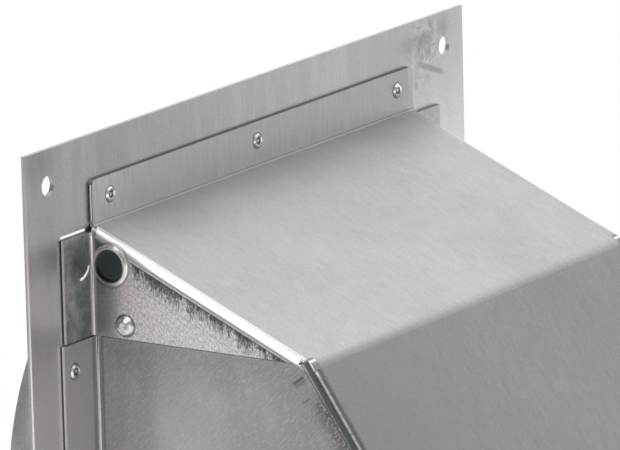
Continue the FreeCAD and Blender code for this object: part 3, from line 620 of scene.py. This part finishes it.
    def paint_clinches(self):
        """Clinches: a painted highlight on the crest, painted shade in the groove, a dark outline of painted
        shade at the foot, and a bright dimple.
        """
        row = self.size(self.less(self.beside, CLINCH_OUT / 2))
        away = self.apart(row, CLINCH_OUT / 2, self.z, CLINCH_UP)
        for up in TAB_CLINCHES_UP:
            away = self.math("MINIMUM", away, self.apart(self.beside, TAB_CLINCH_OUT, self.z, up))
        on_wall = self.under(self.out, 2.5, 0.1)
        self.mark((on_wall, self.between(away, *CLINCH_FOOT, 0.08)), 0.7, DIRT_AND_SHADE)
        self.mark((on_wall, self.between(away, *CLINCH_CREST, 0.08)), 0.95, grey(0.97), -0.16)
        self.mark((on_wall, self.between(away, *CLINCH_GROOVE, 0.08)), 0.75, DIRT_AND_SHADE, -0.1)
        self.mark((on_wall, self.under(away, CLINCH_DIMPLE, 0.08)), 0.9, grey(0.9), -0.16)

    def paint_buttons(self):
        """Buttons: a painted highlight, bright and smooth, with painted shade just off the dome's centre, a
        painted glint and a thin dark outline of painted shade.
        """
        z, out, on_gusset = self.z, self.out, self.on_gusset
        away = self.apart(out, BUTTON_OUT, z, BUTTON_UP)
        self.mark((on_gusset, self.under(away, BUTTON_DOME, 0.05)), 1.0, grey(0.84), -0.22)
        self.mark((on_gusset, self.between(away, *BUTTON_FOOT, 0.12)), 0.7, DIRT_AND_SHADE)
        dome_shade = self.under(self.apart(out, BUTTON_OUT + 0.75, z, BUTTON_UP - 0.1), 0.5, 0.3)
        self.mark((on_gusset, dome_shade), 0.6, BUTTON_SHADE)
        glint = self.under(self.apart(out, BUTTON_OUT + 0.6, z, BUTTON_UP + 1.2), 0.4, 0.25)
        self.mark((on_gusset, glint), 1.0, grey(1.0), -0.1)
        self.tilt((on_gusset, glint), 0.6, LIT)

    def paint_lips(self):
        """Lips about the bushings: painted highlights, brightest on the crest, painted shade in the bore,
        lighter towards its top, and a dark outline of painted shade.
        """
        on_gusset = self.on_gusset
        away = self.apart(self.y, PIVOT_Y, self.z, PIVOT_Z)
        self.mark((on_gusset, self.between(away, *LIP, 0.05)), 0.95, grey(0.74), -0.14)
        self.mark((on_gusset, self.between(away, *LIP_CREST, 0.05)), 0.9, grey(0.98), -0.06)
        bore = self.mix(self.ramp(self.z, 49.4, 53.6), BORE_SHADE, grey(0.80))
        self.mark((on_gusset, self.under(away, LIP_BORE, 0.05)), 0.95, bore)
        self.mark((on_gusset, self.between(away, *LIP_FOOT, 0.15)), 0.4, DIRT_AND_SHADE)

    def paint_top_crease(self):
        """A faint crease near the top panel's left end, drawn as a thin line of painted shade."""
        slant = self.plus(self.times(self.x, 0.9), self.times(self.y, 0.42))
        fine = (self.on_top, self.between(slant, -47.6, -47.4, 0.08), self.between(self.out, 9.0, 17.0, 2.0))
        self.mark(fine, 0.3, grey(0.40))


class CollarSheet(Sheet):
    """The collar's drawn sheet, with a painted highlight on its left side."""

    def __init__(self):
        super().__init__("collar_sheet", 0.60, COLLAR_GRAIN, 0.22)
        painted_highlight = self.all_of(self.between(self.y, 13.0, 22.6, 2.2), self.between(self.z, 9.0, 25.0, 6.0),
                           self.under(self.x, -30.0, 5.0))
        self.mark(painted_highlight, 0.8, grey(0.9))
        self.tilt(painted_highlight, 0.5, BRIGHTEST)
        self.finish()


class PlainShader(Shader):
    """A moulded, drawn or foamed surface with a fine texture all over."""

    def __init__(self, name, colour, rough, metal, scale, strength):
        super().__init__(name)
        grain = self.noise(self.place(), scale=scale, detail=4.0, roughness=0.6)
        dark = tuple(c * 0.8 for c in colour) + (1.0,)
        light = tuple(c * 1.15 for c in colour) + (1.0,)
        self.face = self.mix(grain, dark, light)
        self.put(self.surface["Base Color"], self.face)
        self.put(self.surface["Metallic"], metal)
        self.put(self.surface["Roughness"], self.ramp(grain, 0.3, 0.7, rough - 0.06, rough + 0.06))
        self.put(self.surface["Normal"], self.bump(grain, strength, 0.1 * MM))


class NylonShader(PlainShader):
    """Black nylon with a fine turned ring on its face."""

    def __init__(self):
        super().__init__("bushing_nylon", NYLON, 0.38, 0.0, 1400.0, 0.15)
        away = self.apart(self.along((0.0, 1.0, 0.0)), PIVOT_Y, self.along((0.0, 0.0, 1.0)), PIVOT_Z)
        ring = self.between(away, *BUSH_RING, 0.06)
        self.put(self.surface["Base Color"], self.mix(ring, self.face, NYLON_RING))


def dress(node, shader):
    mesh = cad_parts[node].data
    mesh.materials.clear()
    mesh.materials.append(shader.material)
    for face in mesh.polygons:
        face.material_index = 0


def dress_all():
    nylon = NylonShader()
    dress("wall_plate", PlateSheet())
    dress("hood", HoodSheet())
    dress("duct_collar", CollarSheet())
    dress("damper_flap", Sheet("flap_sheet", 0.50, UPRIGHT_GRAIN, 0.34).finish())
    dress("damper_rod", PlainShader("rod_wire", STEEL, 0.3, 1.0, 900.0, 0.1))
    dress("damper_seal", PlainShader("seal_foam", FOAM, 0.9, 0.0, 1800.0, 0.6))
    dress("pivot_bushing_left", nylon)
    dress("pivot_bushing_right", nylon)


def make_world():
    """A soft sky, which is all the light there is besides the floor's faint glow."""
    world = bpy.data.worlds.new("studio")
    world.use_nodes = True
    scene.world = world
    sky = Nodes(world.node_tree)
    total = SKY_BASE
    for direction, inner, outer, strength in SKY_PATCHES:
        place = sky.new("TexCoord", {})["Generated"]
        facing = sky.dot(place, Vector(direction).normalized())
        patch = sky.ramp(facing, math.cos(math.radians(outer)), math.cos(math.radians(inner)))
        total = sky.plus(sky.times(patch, strength), total)
    soft = sky.tree.nodes["Background"].inputs
    sky.put(soft["Color"], WHITE)
    sky.put(soft["Strength"], total)


def make_floor():
    low = CAD_BOX[0][2] - FLOOR_GAP
    mesh = bpy.data.meshes.new("floor")
    corners = [(x * FLOOR_HALF, y * FLOOR_HALF, low) for x, y in ((-1, -1), (1, -1), (1, 1), (-1, 1))]
    mesh.from_pydata(corners, [], [(0, 1, 2, 3)])
    floor = bpy.data.objects.new("floor", mesh)
    scene.collection.objects.link(floor)
    paper = Shader("floor_paper")
    fibre = paper.noise(paper.place(), scale=60.0, detail=4.0)
    paper.put(paper.surface["Base Color"], paper.mix(fibre, PAPER_DARK, PAPER_LIGHT))
    paper.put(paper.surface["Roughness"], FLOOR_ROUGH)
    paper.put(paper.surface["Emission Color"], WHITE)
    paper.put(paper.surface["Emission Strength"], FLOOR_GLOW)
    mesh.materials.append(paper.material)


make_camera()
make_world()
make_floor()
dress_all()

scene.view_settings.view_transform = "Standard"
